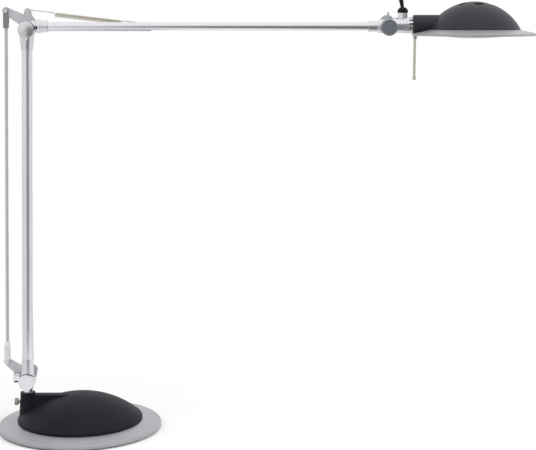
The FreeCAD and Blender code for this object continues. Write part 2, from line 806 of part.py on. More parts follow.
def head_bracket():
    """The head's front eye and the slotted tube that the neck turns in."""
    eye = along_y(hub_radius, head_axis.x, head_axis.z, -eye_depth, -eye_gap)
    barrel = along_x(bracket_radius, bracket_start, bracket_end, 0, roll_z)
    behind = along_y(bracket_lap, head_axis.x, head_axis.z, -eye_gap, 20)
    under_cap = along_y(hub_radius + 0.2, head_axis.x, head_axis.z, -20, -eye_depth)
    barrel = barrel.cut([behind, under_cap])
    bracket = joined([eye, barrel])
    bore = along_x(spigot_radius + turning_fit, spigot_start - 0.5, bracket_end, 0, roll_z)
    axle_bore = along_y(axle_radius, head_axis.x, head_axis.z, -20, 20)
    slots = []
    for step in range(slot_count):
        angle = (step + 0.25) * 360 / slot_count
        slot = block((bracket_end - slot_depth, bracket_end), (-14, -6), (-slot_half_width, slot_half_width))
        slot.rotate(Vec(0, 0, 0), Vec(1, 0, 0), -angle)
        slot.translate(Vec(0, 0, roll_z))
        slots.append(slot)
    entry = upright(cord_way, gland_x, 0, roll_z, roll_z + 12)
    return bracket.cut([bore, axle_bore, entry] + slots)


def head_joint_ring():
    """The silver ring in front of the head joint."""
    ring = moved(joint_cap(), head_axis)
    face = along_y(hub_radius - 1.4, head_axis.x, head_axis.z, -eye_depth - cap_depth - 1, -eye_depth - 1.2)
    return ring.cut(face)


def head_joint_cap():
    """The dark face inside the ring."""
    back = -eye_depth - 1.2
    disc = along_y(hub_radius - 1.4, head_axis.x, head_axis.z, back - 1.7, back)
    rim = [edge for edge in disc.Edges if edge.BoundBox.YMax < back - 1.6]
    return disc.makeFillet(0.4, rim)


def gland_stub():
    """The silver stub on the bracket tube, with a groove down its front."""
    stub = upright(gland_radius, gland_x, 0, roll_z + 6, gland_top)
    tube = along_x(bracket_radius, bracket_start, bracket_end, 0, roll_z)
    groove = block((gland_x - 0.5, gland_x + 0.5), (-gland_radius, 0.8 - gland_radius), (roll_z, gland_top))
    return stub.cut([tube, upright(cord_way, gland_x, 0, roll_z, gland_top), groove])


def gland_nut():
    """The black domed nut that grips the cord."""
    corners = []
    for step in range(7):
        angle = math.radians(60 * step)
        x = gland_x + gland_nut_radius * math.cos(angle)
        corners.append(Vec(x, gland_nut_radius * math.sin(angle), gland_top))
    body = Part.Face(Part.makePolygon(corners)).extrude(Vec(0, 0, gland_nut_height))
    shoulder_height = gland_top + gland_nut_height
    crown = cone(gland_radius, 4.2, Vec(gland_x, 0, shoulder_height), Vec(gland_x, 0, gland_crown))
    grip = cylinder(cord_radius, Vec(*cord_route[0]), Vec(*cord_route[1]))
    return joined([body, crown]).cut(grip)


def ribbed_clip():
    """A moulded clip on the bracket tube's lower front, with two windows over a row of ribs."""
    shell = along_x(bracket_radius + 1.0, clip_start, bracket_end, 0, roll_z)
    plate = block((clip_start, bracket_end), (-14, -3.0), (clip_low, clip_high))
    corner = [edge for edge in plate.Edges if edge.BoundBox.YLength > 5 and edge.BoundBox.ZMin > clip_high - 0.1]
    corner = [edge for edge in corner if edge.BoundBox.XMax < clip_start + 0.1]
    plate = plate.makeFillet(2.6, corner)
    clip = shell.common(plate).cut(along_x(bracket_radius, clip_start, bracket_end, 0, roll_z))
    windows = [block((x - 1.1, x + 1.1), (-14, -4), (clip_high - 3.6, clip_high - 1.5)) for x in clip_windows]
    grooves = [block((x - 0.45, x + 0.45), (-14, -bracket_radius + 1.4), (clip_low - 1, clip_low + 4.7))
               for x in clip_grooves]
    clip = clip.cut(windows + grooves)
    return max(clip.Solids, key=lambda solid: solid.Volume)


def cord_path(points):
    """Straight runs joined by tangent arcs, each as large as its two runs allow."""
    spots = [Vec(*point) for point in points]
    edges = []
    radii = []
    here = spots[0]
    for before, corner, after in zip(spots, spots[1:], spots[2:]):
        run_in = corner - before
        run_out = after - corner
        way_in = Vec(run_in).normalize()
        way_out = Vec(run_out).normalize()
        half_turn = math.acos(max(-1.0, min(1.0, way_in.dot(way_out)))) / 2
        cut = 0.45 * min(run_in.Length, run_out.Length)
        radius = cut / math.tan(half_turn)
        radii.append(round(radius, 1))
        start = corner - way_in * cut
        end = corner + way_out * cut
        inward = (way_out - way_in).normalize()
        middle = corner + inward * (radius / math.cos(half_turn) - radius)
        edges.append(Part.LineSegment(here, start).toShape())
        edges.append(Part.Arc(start, middle, end).toShape())
        here = end
    edges.append(Part.LineSegment(here, spots[-1]).toShape())
    print("cord radii", radii)
    return Part.Wire(edges)


def head_cord():
    path = cord_path(cord_route)
    start = Vec(*cord_route[0])
    way = Vec(*cord_route[1]) - start
    section = Part.Wire(Part.makeCircle(cord_radius, start, way))
    solid = path.makePipeShell([section], True, False)
    expected = math.pi * cord_radius ** 2 * path.Length
    print("cord length", round(path.Length, 1), "mm, volume over section x length",
          round(solid.Volume / expected, 4))
    return solid


# --- Head ---

def head_dome(inset):
    """The space under the dome's outer curve, or under its inner one."""
    radius = dome_curve - inset
    ball = Part.makeSphere(radius, Vec(head_x, 0, dome_z))
    return ball.common(block((400, 640), (-90, 90), (head_foot, 600)))


def vent_cutters():
    """Oval vents in a ring round the dome's top."""
    cutters = []
    for step in range(vent_count):
        slot_half = (vent_length - vent_width) / 2
        ends = [upright(vent_width / 2, vent_circle, y, 550, 580) for y in (-slot_half, slot_half)]
        middle = block((vent_circle - vent_width / 2, vent_circle + vent_width / 2),
                       (-slot_half, slot_half), (550, 580))
        oval = joined(ends + [middle])
        oval.rotate(Vec(0, 0, 0), Vec(0, 0, 1), -82 + 72 * step)
        oval.translate(Vec(head_x, 0, 0))
        cutters.append(oval)
    return cutters


def head_housing():
    """The dome and the neck in one moulding, with the spigot that turns in the bracket."""
    neck = along_x(neck_radius, neck_start, head_x - 20, 0, roll_z)
    end_edge = [edge for edge in neck.Edges if edge.BoundBox.XMax < neck_start + 0.01]
    neck = neck.makeFillet(1.4, end_edge)
    spigot = along_x(spigot_radius, spigot_start, neck_start + 2, 0, roll_z)
    cavity = head_dome(head_wall)
    housing = joined([head_dome(0), neck]).cut(cavity)
    housing = joined([housing, spigot])
    lead_way = along_x(4.0, 420, head_x - 40, 0, roll_z)
    housing = housing.cut([flange_space(), head_flange(), lead_way] + vent_cutters())
    return max(housing.Solids, key=lambda solid: solid.Volume)


def flange_space():
    """Everything below the flange's upper face, so that the neck's underside rests on it."""
    steps = [
        (0, 500),
        (flange_radius + 4, 500),
        (flange_radius + 4, lip_top - 0.7),
        (flange_radius - 1.5, lip_top - 0.1),
        (dome_foot_radius(), head_foot),
        (0, head_foot),
    ]
    return revolved(steps, head_x)


def dome_foot_radius():
    return math.sqrt(dome_curve ** 2 - (head_foot - dome_z) ** 2)


def head_flange():
    """The silver sheet flange: a seat under the dome, a falling brim and a rolled lip."""
    foot = dome_foot_radius()
    brim = flange_radius - 1.5
    steps = [
        (flange_inner, head_foot - flange_sheet),
        (flange_inner, head_foot),
        (foot, head_foot),
        (brim, lip_top - 0.1),
        ((flange_radius - 0.3, lip_top - 0.6), (flange_radius, lip_top - 1.6)),
        (flange_radius, lip_bottom + 0.6),
        ((flange_radius - 0.7, lip_bottom), (flange_radius - 1.4, lip_bottom + 0.6)),
        (flange_radius - 1.4, lip_top - 2.0),
        (foot, head_foot - flange_sheet),
    ]
    return revolved(steps, head_x)


def reflector_bowl():
    """A spun bowl under the dome, open at the bottom and round the lamp holder."""
    steps = [
        (bowl_rim, bowl_low),
        (bowl_rim, bowl_low - 1.0),
        (bowl_rim + 1.1, bowl_low - 1.0),
        (bowl_rim + 1.1, bowl_low + 1.0),
        ((38.0, 549.0), (bowl_collar, bowl_high)),
        (bowl_collar, bowl_high - 1.0),
        ((37.4, 548.0), (bowl_rim, bowl_low + 0.3)),
    ]
    return revolved(steps, head_x)


def lamp_holder():
    """The round holder with a flange on top of the bowl's collar and two pin holes."""
    body = upright(holder_radius, head_x, 0, holder_low, holder_high)
    flange = upright(holder_radius + 3.0, head_x, 0, bowl_high + 0.4, bowl_high + 2.4)
    pins = [upright(0.8, head_x + x, 0, holder_low, holder_low + 5)
            for x in (-bulb_pin_spacing, bulb_pin_spacing)]
    return joined([body, flange]).cut(pins)


def halogen_bulb():
    """A capsule bulb with its two pins in the holder."""
    steps = [
        (0, bulb_low),
        ((0.68 * bulb_radius, bulb_low + 1.8), (bulb_radius, bulb_low + bulb_radius)),
        (bulb_radius, bulb_high - 2.2),
        (bulb_radius - 1.0, bulb_high),
        (0, bulb_high),
    ]
    pins = [upright(0.6, head_x + x, 0, bulb_high - 0.4, holder_low + 4)
            for x in (-bulb_pin_spacing, bulb_pin_spacing)]
    return joined([revolved(steps, head_x)] + pins)


def diffuser_glass():
    """The shallow glass that closes the flange from below."""
    steps = [
        (0, glass_middle[1]),
        (2.0, glass_middle[1]),
        ((glass_radius / 2, glass_middle[1] + 0.8), (glass_radius - 2.7, glass_edge[1])),
        (glass_radius, glass_edge[1]),
        (glass_radius, glass_edge[0]),
        ((glass_radius / 2, glass_middle[0] + 0.9), (2.0, glass_middle[0])),
        (0, glass_middle[0]),
    ]
    return revolved(steps, head_x)


def glass_ring():
    """The ring that holds the glass and the bowl in the flange."""
    steps = [
        (glass_radius + 0.2, ring_low),
        (ring_outer, ring_low),
        (ring_outer, head_foot - flange_sheet),
        (bowl_rim + 1.2, head_foot - flange_sheet),
        (bowl_rim + 1.2, bowl_low - 1.1),
        (glass_radius + 0.2, bowl_low - 1.1),
    ]
    return revolved(steps, head_x)


def handle_bracket():
    """The small angled foot under the flange's edge that carries the handle rod."""
    right = handle_x + 2.6
    body = block((handle_x - 2.4, right), (-3.0, 3.0), (handle_foot, lip_bottom + 2.0))
    corners = [Vec(right, -2.0, 528.2), Vec(right + 10.4, -2.0, 533.4), Vec(right, -2.0, 533.4)]
    gusset = Part.makePolygon(corners + [corners[0]])
    rib = Part.Face(gusset).extrude(Vec(0, 4.0, 0))
    foot = joined([body, rib])
    foot = foot.cut(flange_profile_above())
    return foot.cut(upright(handle_radius, handle_x, 0, handle_foot, handle_seat))


def flange_profile_above():
    """The flange's own sheet and lip with everything above them."""
    steps = [
        (flange_radius - 1.4, 500),
        (flange_radius + 6, 500),
        (flange_radius + 6, 560),
        (0, 560),
        (0, head_foot - flange_sheet),
        (dome_foot_radius(), head_foot - flange_sheet),
        (flange_radius - 1.4, lip_top - 2.0),
    ]
    return revolved(steps, head_x)


def handle_rod():
    return upright(handle_radius, handle_x, 0, handle_end + 3.5, handle_seat)


def handle_tip():
    tip = upright(handle_tip_radius, handle_x, 0, handle_end, handle_end + 4.4)
    tip = tip.makeChamfer(0.5, [edge for edge in tip.Edges if edge.BoundBox.ZLength < 0.01])
    return tip.cut(upright(handle_radius, handle_x, 0, handle_end + 3.5, handle_end + 6))


# --- All pieces ---

def pieces():
    """Every node's name with its solid."""
    lower_hole = rear_screw_hole(0, lower_tube_radius)
    foot_fitting = arm_fitting(0, foot_sleeve, lower_tube_radius, False, lower_hole)
    elbow_fitting = arm_fitting(0, elbow_sleeve, lower_tube_radius, True, lower_hole)
    insert_hole = long_insert(-eye_depth - 1, -upper_tube_radius + grub_depth)
    upper_fitting = arm_fitting(upper_tube_rise, collar_sleeve, upper_tube_radius, False, insert_hole)
    eye = along_y(hub_radius, 0, 0, -eye_depth, eye_depth)
    upper_fitting = upper_fitting.cut(closed_arm_space().cut(eye))
    shoulder_pin = (shoulder.x + shoulder_spring_pin[0], shoulder.z + shoulder_spring_pin[1])
    elbow_pin = (elbow.x + elbow_spring_pin[0], elbow.z + elbow_spring_pin[1])
    lower_anchor = (shoulder.x + lower_spring_anchor * math.sin(lean),
                    shoulder.z + lower_spring_anchor * math.cos(lean))
    upper_anchor = (elbow.x + upper_spring_anchor, tube_z)
    base = {
        "base_plate": base_plate(),
        "base_cover": base_cover(),
        "post_bush": post_bush(),
        "ballast_ring": ballast_ring(),
        "non_slip_pad": non_slip_pad(),
        "cover_screws": cover_screws(),
        "transformer": transformer(),
        "terminal_block": terminal_block(),
        "mains_inlet_gland": mains_inlet_gland(),
        "clamp_screw": clamp_screw(),
    }
    swivel = {
        "swivel_post": swivel_post(),
        "shoulder_cap": moved(joint_cap(), shoulder),
        "shoulder_axle": moved(joint_axle(nut_back), shoulder),
        "shoulder_plate": shoulder_plate(),
        "shoulder_nut": moved(joint_nut(plate_back), shoulder),
        "shoulder_spring_pin": spring_pin(shoulder_spring_pin, shoulder),
        "clamp_block": clamp_block(),
        "clamp_block_screw": clamp_block_screw(),
    }
    tie = {
        "tie_rod": tie_rod(),
        "tie_rod_lower_fork": on_tie_line(fork(7.0, 28.0, 6.0), shoulder, 1),
        "tie_rod_upper_fork": on_tie_line(fork(6.4, 23.0, 1.5), elbow, -1),
        "tie_rod_pins": tie_rod_pins(),
    }
    lower = {
        "lower_tube": lower_tube(),
        "lower_arm_foot_fitting": on_lower_arm(foot_fitting),
        "lower_arm_elbow_fitting": on_lower_arm(elbow_fitting, True),
        "lower_grub_screws": lower_grub_screws(),
        "lower_spring_anchor": turned(spring_anchor_pin(lower_tube_radius), -90 + lower_lean,
                                      Vec(lower_anchor[0], 0, lower_anchor[1])),
        "lower_spring": spring_between(shoulder_pin, lower_anchor, True),
        "elbow_cap": moved(crowned_cap(), elbow),
        "elbow_axle": moved(joint_axle(nut_back), elbow),
        "elbow_nut": moved(joint_nut(nut_front), elbow),
    }
    plate = {
        "elbow_plate": elbow_plate(),
        "elbow_spring_pin": spring_pin(elbow_spring_pin, elbow),
    }
    upper = {
        "upper_tube": upper_tube(),
        "upper_arm_elbow_fitting": moved(upper_fitting, elbow),
        "upper_arm_head_fitting": upper_arm_head_fitting(),
        "upper_grub_screws": upper_grub_screws(),
        "upper_spring_anchor": moved(spring_anchor_pin(upper_tube_radius),
                                     Vec(upper_anchor[0], 0, upper_anchor[1])),
        "upper_spring": spring_between(elbow_pin, upper_anchor),
        "cord_port": cord_port(),
        "head_stop_plate": head_stop_plate(),
    }
    bracket = {
        "head_bracket": head_bracket(),
        "head_axle": moved(joint_axle(nut_back + 0.6), head_axis),
        "head_nut": moved(joint_nut(nut_front + 0.6), head_axis),
        "head_joint_ring": head_joint_ring(),
        "head_joint_cap": head_joint_cap(),
        "gland_stub": gland_stub(),
        "gland_nut": gland_nut(),
        "ribbed_clip": ribbed_clip(),
        "head_cord": head_cord(),
    }
    head = {
        "head_housing": head_housing(),
        "head_flange": head_flange(),
        "reflector_bowl": reflector_bowl(),
        "lamp_holder": lamp_holder(),
        "halogen_bulb": halogen_bulb(),
        "diffuser_glass": diffuser_glass(),
        "glass_ring": glass_ring(),
        "handle_bracket": handle_bracket(),
        "handle_rod": handle_rod(),
        "handle_tip": handle_tip(),
    }
    return {**base, **swivel, **tie, **lower, **plate, **upper, **bracket, **head}


os.makedirs("parts", exist_ok=True)
for name, shape in pieces().items():
    shape.exportStep("parts/" + name + ".step")
    print(name, "solids", len(shape.Solids), "valid", shape.isValid(), "volume", round(shape.Volume, 1))
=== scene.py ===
import math
import bpy
import bmesh
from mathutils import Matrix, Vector


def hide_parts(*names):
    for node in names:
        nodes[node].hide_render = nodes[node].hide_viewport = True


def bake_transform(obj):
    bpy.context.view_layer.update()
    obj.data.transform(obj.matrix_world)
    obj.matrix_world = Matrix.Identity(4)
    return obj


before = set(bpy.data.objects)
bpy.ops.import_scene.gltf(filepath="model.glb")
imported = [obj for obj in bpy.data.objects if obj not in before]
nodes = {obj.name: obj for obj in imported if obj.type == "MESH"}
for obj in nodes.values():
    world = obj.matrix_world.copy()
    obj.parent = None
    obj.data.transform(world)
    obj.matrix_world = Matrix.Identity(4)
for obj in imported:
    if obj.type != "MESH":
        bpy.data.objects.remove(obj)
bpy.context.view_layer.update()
print("lamp: frame loaded,", len(nodes), "CAD nodes")

# camera, as the photo was taken: level with the arms, looking slightly down

camera = {
    "place": (0.2559, -1.8118, 0.5615),
    "pitchDown": 8.88,
    "focalPixels": 1374.2,
    "imageWidth": 536,
    "sensor": 36.0,
    "farthest": 60,
}


def addCamera(look):
    data = bpy.data.cameras.new("photoCamera")
    data.sensor_width = look["sensor"]
    data.lens = look["focalPixels"] / look["imageWidth"] * look["sensor"]
    data.clip_end = look["farthest"]
    cam = bpy.data.objects.new("photoCamera", data)
    cam.location = look["place"]
    cam.rotation_euler = (math.radians(90 - look["pitchDown"]), 0, 0)
    bpy.context.scene.collection.objects.link(cam)
    bpy.context.scene.camera = cam


addCamera(camera)
print("lamp: camera set")


# shared mesh helpers

def link(name, mesh):
    piece = bpy.data.objects.new(name, mesh)
    bpy.context.scene.collection.objects.link(piece)
    return piece


def splinePoints(route, closeness):
    # points along the smooth NURBS curve that the route controls
    curve = bpy.data.curves.new("routeCurve", "CURVE")
    curve.dimensions = "3D"
    curve.resolution_u = closeness
    spline = curve.splines.new("NURBS")
    spline.points.add(len(route) - 1)
    for point, place in zip(spline.points, route):
        point.co = (*place, 1)
    spline.order_u = 3
    spline.use_endpoint_u = True
    holder = link("routeCurve", curve)
    bpy.context.view_layer.update()
    graph = bpy.context.evaluated_depsgraph_get()
    line = bpy.data.meshes.new_from_object(holder.evaluated_get(graph))
    places = [v.co.copy() for v in line.vertices]
    bpy.data.objects.remove(holder)
    bpy.data.curves.remove(curve)
    bpy.data.meshes.remove(line)
    return places


def tubeMesh(name, places, radius, sides):
    # a closed round tube along the points, its rings carried along without twisting
    mesh = bpy.data.meshes.new(name)
    bm = bmesh.new()
    rings = []
    ways = [(b - a).normalized() for a, b in zip(places, places[1:])]
    ways = [ways[0]] + [(a + b).normalized() for a, b in zip(ways, ways[1:])] + [ways[-1]]
    side = ways[0].orthogonal().normalized()
    for place, way in zip(places, ways):
        side = (side - way * side.dot(way)).normalized()
        up = way.cross(side)
        ring = []
        for step in range(sides):
            angle = 2 * math.pi * step / sides
            outward = side * math.cos(angle) + up * math.sin(angle)
            ring.append(bm.verts.new(place + outward * radius))
        rings.append(ring)
    for ring, following in zip(rings, rings[1:]):
        for step in range(sides):
            after = (step + 1) % sides
            bm.faces.new((ring[step], ring[after], following[after], following[step]))
    bm.faces.new(rings[0][::-1])
    bm.faces.new(rings[-1])
    bmesh.ops.recalc_face_normals(bm, faces=bm.faces)
    bm.to_mesh(mesh)
    bm.free()
    for face in mesh.polygons:
        face.use_smooth = True
    return mesh


# the cord from the head's gland up, over the joint and down to the port in the arm

cord = {
    "route": [
        (0.4320, 0.0, 0.5620), (0.4281, 0.0, 0.5740), (0.4269, 0.0018, 0.5866),
        (0.4273, 0.0080, 0.5974), (0.4290, 0.0186, 0.6038), (0.4306, 0.0310, 0.6042),
        (0.4323, 0.0418, 0.5984), (0.4336, 0.0480, 0.5876), (0.4346, 0.0494, 0.5752),
        (0.4362, 0.0489, 0.5629), (0.4336, 0.0456, 0.5514), (0.4264, 0.0396, 0.5436),
        (0.4170, 0.0320, 0.5408), (0.4060, 0.0230, 0.5404), (0.3964, 0.0152, 0.5404),
    ],
    "radius": 0.0022,
    "length": 0.1740,
    "closeness": 10,
    "sides": 20,
    "bendStart": (0.404, 0.0, 0.540),
    "bendEnd": (0.427, 0.0, 0.540),
}


def addCord(look):
    places = splinePoints(look["route"], look["closeness"])
    piece = link("headCord", tubeMesh("headCord", places, look["radius"], look["sides"]))
    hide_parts("head_cord")
    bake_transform(piece)
    return piece


headCord = addCord(cord)
print("lamp: cord made")

# materials: how fine the two noises are, how worn edges are found, and how far the specks reach

cloudDetail = 3.0
fineDetail = 2.0
edgeSamples = 6
edgeShare = (0.86, 0.995)
speckShare = 0.5
speckRange = (0.45, 0.75)


def newMaterial(name):
    mat = bpy.data.materials.new(name)
    mat.use_nodes = True
    tree = mat.node_tree
    tree.nodes.clear()
    out = tree.nodes.new("ShaderNodeOutputMaterial")
    shader = tree.nodes.new("ShaderNodeBsdfPrincipled")
    tree.links.new(shader.outputs[0], out.inputs[0])
    return mat, tree, shader


def grain(tree, size, detail, stretch=(1, 1, 1)):
    # noise in the object's own coordinates, with grains of a size in metres
    coords = tree.nodes.new("ShaderNodeTexCoord")
    mapping = tree.nodes.new("ShaderNodeMapping")
    mapping.inputs["Scale"].default_value = [1 / s for s in stretch]
    noise = tree.nodes.new("ShaderNodeTexNoise")
    noise.inputs["Scale"].default_value = 1 / size
    noise.inputs["Detail"].default_value = detail
    tree.links.new(coords.outputs["Object"], mapping.inputs["Vector"])
    tree.links.new(mapping.outputs["Vector"], noise.inputs["Vector"])
    return noise.outputs["Fac"]


def spread(tree, value, low, high, fromLow=0.3, fromHigh=0.7):
    # a value's range laid over another; the usual range is that of a noise
    scale = tree.nodes.new("ShaderNodeMapRange")
    scale.inputs["From Min"].default_value = fromLow
    scale.inputs["From Max"].default_value = fromHigh
    scale.inputs["To Min"].default_value = low
    scale.inputs["To Max"].default_value = high
    tree.links.new(value, scale.inputs["Value"])
    return scale.outputs["Result"]


def blended(tree, factor, first, second):
    mix = tree.nodes.new("ShaderNodeMix")
    mix.data_type = "RGBA"
    tree.links.new(factor, mix.inputs["Factor"])
    for socket, value in ((mix.inputs[6], first), (mix.inputs[7], second)):
        if isinstance(value, bpy.types.NodeSocket):
            tree.links.new(value, socket)
        else:
            socket.default_value = (*value, 1)
    return mix.outputs[2]


def softEdge(tree, radius):
    bevel = tree.nodes.new("ShaderNodeBevel")
    bevel.samples = edgeSamples
    bevel.inputs["Radius"].default_value = radius
    return bevel


def edgeMask(tree, bevel):
    # near 1 where the rounded normal leaves the flat one, at worn edges
    flat = tree.nodes.new("ShaderNodeNewGeometry")
    dot = tree.nodes.new("ShaderNodeVectorMath")
    dot.operation = "DOT_PRODUCT"
    tree.links.new(bevel.outputs["Normal"], dot.inputs[0])
    tree.links.new(flat.outputs["Normal"], dot.inputs[1])
    return spread(tree, dot.outputs["Value"], 1.0, 0.0, *edgeShare)


def makeFinish(name, look):
    # a painted, plated or moulded surface: clouds of two colours, fine specks, worn edges
    mat, tree, shader = newMaterial(name)
    shader.inputs["Metallic"].default_value = look["metallic"]
    shader.inputs["Specular IOR Level"].default_value = look.get("specular", 0.5)
    cloud = grain(tree, look["cloud"], cloudDetail)
    fine = grain(tree, look["grain"], fineDetail, look.get("stretch", (1, 1, 1)))
    colour = blended(tree, spread(tree, cloud, 0, 1), look["colour"], look["colour2"])
    speck = tuple(c * look["speck"] for c in look["colour"])
    colour = blended(tree, spread(tree, fine, 0, speckShare, *speckRange), colour, speck)
    bevel = softEdge(tree, look["edge"])
    if look.get("wear"):
        worn = spread(tree, edgeMask(tree, bevel), 0, look["wear"], 0, 1)
        colour = blended(tree, worn, colour, look["wearColour"])
    tree.links.new(colour, shader.inputs["Base Color"])
    low, high = look["roughness"]
    tree.links.new(spread(tree, fine, low, high), shader.inputs["Roughness"])
    bump = tree.nodes.new("ShaderNodeBump")
    bump.inputs["Distance"].default_value = look["depth"]
    bump.inputs["Strength"].default_value = 1.0
    tree.links.new(fine, bump.inputs["Height"])
    tree.links.new(bevel.outputs["Normal"], bump.inputs["Normal"])
    tree.links.new(bump.outputs["Normal"], shader.inputs["Normal"])
    return mat


finishes = {
    "silverLacquer": {
        "colour": (0.33, 0.332, 0.355), "colour2": (0.37, 0.372, 0.395), "speck": 1.3, "metallic": 0.4,
        "cloud": 0.05, "grain": 0.0003, "roughness": (0.30, 0.40),
        "depth": 0.00001, "edge": 0.0004, "wear": 0.25, "wearColour": (0.75, 0.75, 0.76),
    },
    "texturedBlack": {
        "colour": (0.0075, 0.008, 0.0115), "colour2": (0.010, 0.0105, 0.0145), "speck": 2.0, "metallic": 0.0,
        "specular": 0.12, "cloud": 0.04, "grain": 0.0007, "roughness": (0.45, 0.62),
        "depth": 0.00010, "edge": 0.0005, "wear": 0.25, "wearColour": (0.07, 0.07, 0.075),
    },
    "castSilver": {
        "colour": (0.74, 0.745, 0.775), "colour2": (0.79, 0.795, 0.825), "speck": 0.93, "metallic": 0.92,
        "cloud": 0.02, "grain": 0.0004, "roughness": (0.14, 0.22),
        "depth": 0.000006, "edge": 0.0004, "wear": 0.3, "wearColour": (0.85, 0.85, 0.86),
    },
    "satinTube": {
        "colour": (0.77, 0.775, 0.805), "colour2": (0.82, 0.825, 0.855), "speck": 0.93, "metallic": 0.95,
        "cloud": 0.06, "grain": 0.0005, "stretch": (0.4, 0.4, 30), "roughness": (0.2, 0.27),
        "depth": 0.000002, "edge": 0.0003,
    },
    "satinTubeLevel": {
        "colour": (0.77, 0.775, 0.805), "colour2": (0.82, 0.825, 0.855), "speck": 0.93, "metallic": 0.95,
        "cloud": 0.06, "grain": 0.0005, "stretch": (30, 0.4, 0.4), "roughness": (0.12, 0.18),
        "depth": 0.000002, "edge": 0.0003,
    },
    "platedPlate": {
        "colour": (0.55, 0.555, 0.58), "colour2": (0.60, 0.605, 0.63), "speck": 0.92, "metallic": 0.35,
        "cloud": 0.015, "grain": 0.0004, "roughness": (0.4, 0.52),
        "depth": 0.00001, "edge": 0.0003, "wear": 0.3, "wearColour": (0.85, 0.85, 0.86),
    },
    "brightSteel": {
        "colour": (0.62, 0.62, 0.625), "colour2": (0.70, 0.70, 0.705), "speck": 0.85, "metallic": 1.0,
        "cloud": 0.01, "grain": 0.0002, "roughness": (0.14, 0.22),
        "depth": 0.000002, "edge": 0.0003,
    },
    "satinCap": {
        "colour": (0.66, 0.665, 0.68), "colour2": (0.72, 0.725, 0.74), "speck": 0.9, "metallic": 0.95,
        "cloud": 0.01, "grain": 0.0003, "roughness": (0.27, 0.34),
        "depth": 0.000002, "edge": 0.0003,
    },
    "blackSteel": {
        "colour": (0.02, 0.02, 0.022), "colour2": (0.03, 0.03, 0.032), "speck": 1.6, "metallic": 0.4,
        "cloud": 0.01, "grain": 0.0002, "roughness": (0.35, 0.5),
        "depth": 0.00001, "edge": 0.0002,
    },
    "springWire": {
        "colour": (0.54, 0.50, 0.40), "colour2": (0.62, 0.58, 0.48), "speck": 0.75, "metallic": 0.75,
        "cloud": 0.01, "grain": 0.0003, "roughness": (0.3, 0.42),
        "depth": 0.000005, "edge": 0.0001,
    },
    "blackPlastic": {
        "colour": (0.006, 0.006, 0.0075), "colour2": (0.009, 0.009, 0.0105), "speck": 1.5, "metallic": 0.0,
        "specular": 0.15, "cloud": 0.02, "grain": 0.0003, "roughness": (0.35, 0.5),
        "depth": 0.00002, "edge": 0.0003,
    },
    "slatePlastic": {
        "colour": (0.105, 0.118, 0.140), "colour2": (0.120, 0.133, 0.155), "speck": 1.2, "metallic": 0.0,
        "cloud": 0.02, "grain": 0.0003, "roughness": (0.4, 0.55),
        "depth": 0.00002, "edge": 0.0003,
    },
    "anthracite": {
        "colour": (0.017, 0.018, 0.022), "colour2": (0.022, 0.023, 0.028), "speck": 1.7, "metallic": 0.0,
        "specular": 0.3, "cloud": 0.04, "grain": 0.0004, "roughness": (0.4, 0.52),
        "depth": 0.00003, "edge": 0.0004,
    },
    "cordJacket": {
        "colour": (0.006, 0.006, 0.007), "colour2": (0.009, 0.009, 0.010), "speck": 1.5, "metallic": 0.0,
        "specular": 0.2, "cloud": 0.01, "grain": 0.0003, "roughness": (0.45, 0.6),
        "depth": 0.00001, "edge": 0.0001,
    },
    "screwNickel": {
        "colour": (0.34, 0.32, 0.28), "colour2": (0.42, 0.40, 0.35), "speck": 0.75, "metallic": 0.9,
        "cloud": 0.008, "grain": 0.0003, "roughness": (0.22, 0.34),
        "depth": 0.000006, "edge": 0.0002,
    },
    "nickel": {
        "colour": (0.66, 0.63, 0.56), "colour2": (0.72, 0.69, 0.62), "speck": 0.88, "metallic": 0.85,
        "cloud": 0.015, "grain": 0.0003, "roughness": (0.22, 0.32),
        "depth": 0.000004, "edge": 0.0002,
    },
    "bowlMetal": {
        "colour": (0.72, 0.72, 0.72), "colour2": (0.78, 0.78, 0.78), "speck": 0.9, "metallic": 0.9,
        "cloud": 0.02, "grain": 0.0008, "roughness": (0.22, 0.34),
        "depth": 0.00003, "edge": 0.0002,
    },
    "whiteCeramic": {
        "colour": (0.72, 0.70, 0.65), "colour2": (0.78, 0.76, 0.72), "speck": 0.9, "metallic": 0.0,
        "cloud": 0.01, "grain": 0.0003, "roughness": (0.3, 0.45),
        "depth": 0.00001, "edge": 0.0003,
    },
    "padRubber": {
        "colour": (0.015, 0.015, 0.016), "colour2": (0.022, 0.022, 0.023), "speck": 1.5, "metallic": 0.0,
        "cloud": 0.02, "grain": 0.0006, "roughness": (0.6, 0.8),
        "depth": 0.00005, "edge": 0.0002,
    },
    "ballastIron": {
        "colour": (0.05, 0.05, 0.052), "colour2": (0.08, 0.07, 0.065), "speck": 1.3, "metallic": 0.5,
        "cloud": 0.02, "grain": 0.0008, "roughness": (0.5, 0.7),
        "depth": 0.00006, "edge": 0.0003,
    },
    "greyMetal": {
        "colour": (0.20, 0.205, 0.215), "colour2": (0.25, 0.255, 0.265), "speck": 0.8, "metallic": 0.4,
        "cloud": 0.01, "grain": 0.0003, "roughness": (0.35, 0.48),
        "depth": 0.00001, "edge": 0.0003,
    },
}
materials = {name: makeFinish(name, look) for name, look in finishes.items()}


def makeGlass(name, look):
    mat, tree, shader = newMaterial(name)
    shader.inputs["Transmission Weight"].default_value = 1.0
    shader.inputs["IOR"].default_value = look["bend"]
    fine = grain(tree, look["grain"], fineDetail)
    colour = blended(tree, spread(tree, fine, 0, 1), look["colour"], look["colour2"])
    tree.links.new(colour, shader.inputs["Base Color"])
    tree.links.new(spread(tree, fine, *look["roughness"]), shader.inputs["Roughness"])
    return mat


